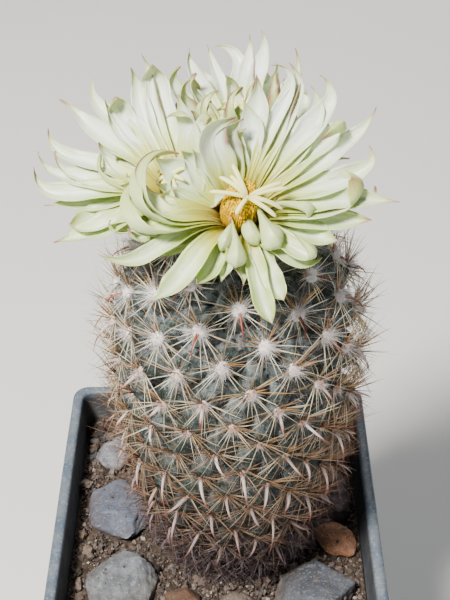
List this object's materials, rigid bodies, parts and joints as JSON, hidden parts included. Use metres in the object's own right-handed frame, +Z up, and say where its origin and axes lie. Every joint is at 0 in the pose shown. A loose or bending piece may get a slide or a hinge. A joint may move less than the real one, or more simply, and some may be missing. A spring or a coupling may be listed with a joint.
{
  "type": "potted cactus",
  "caption": "Short cylindrical cactus with spiny tubercles and pale many-petalled flowers on top, in a square tapered plastic pot of gritty soil with loose stones.",
  "frame": {"origin": "middle of the pot's flat underside", "axes": "+Z up; +X to the viewer's right and -Y towards the viewer of the picture; the pot's sides are square to X and Y"},
  "size_m": [0.07, 0.07, 0.17],
  "materials": {
    "pot_plastic": "worn dusty plastic",
    "soil": "coarse mineral grit",
    "cactus_skin": "dull waxy skin",
    "petal": "satin",
    "stamen": "matte, pollen-dusted",
    "pistil": "matte",
    "stone_grey": "rough broken stone",
    "stone_brown": "rough broken stone",
    "stone_orange": "rough, speckled",
    "stone_purple": "rough broken stone"
  },
  "bodies": {
    "root": {"pot": "pot_plastic", "soil": "soil", "cactus_stem": "cactus_skin", "front_flower_petals": "petal", "front_flower_stamens": "stamen", "front_flower_pistil": "pistil", "left_flower_petals": "petal", "left_flower_stamens": "stamen", "left_flower_pistil": "pistil", "back_flower_petals": "petal", "back_flower_stamens": "stamen", "back_flower_pistil": "pistil", "stone_light_grey": "stone_grey", "stone_slate": "stone_grey", "stone_grey_front": "stone_grey", "stone_brown_front": "stone_brown", "stone_small_brown": "stone_brown", "stone_purple": "stone_purple", "stone_orange_chip": "stone_orange", "stone_dark_front": "stone_grey", "stone_back_left": "stone_grey", "stone_back_right": "stone_brown"}
  },
  "joints": []
}
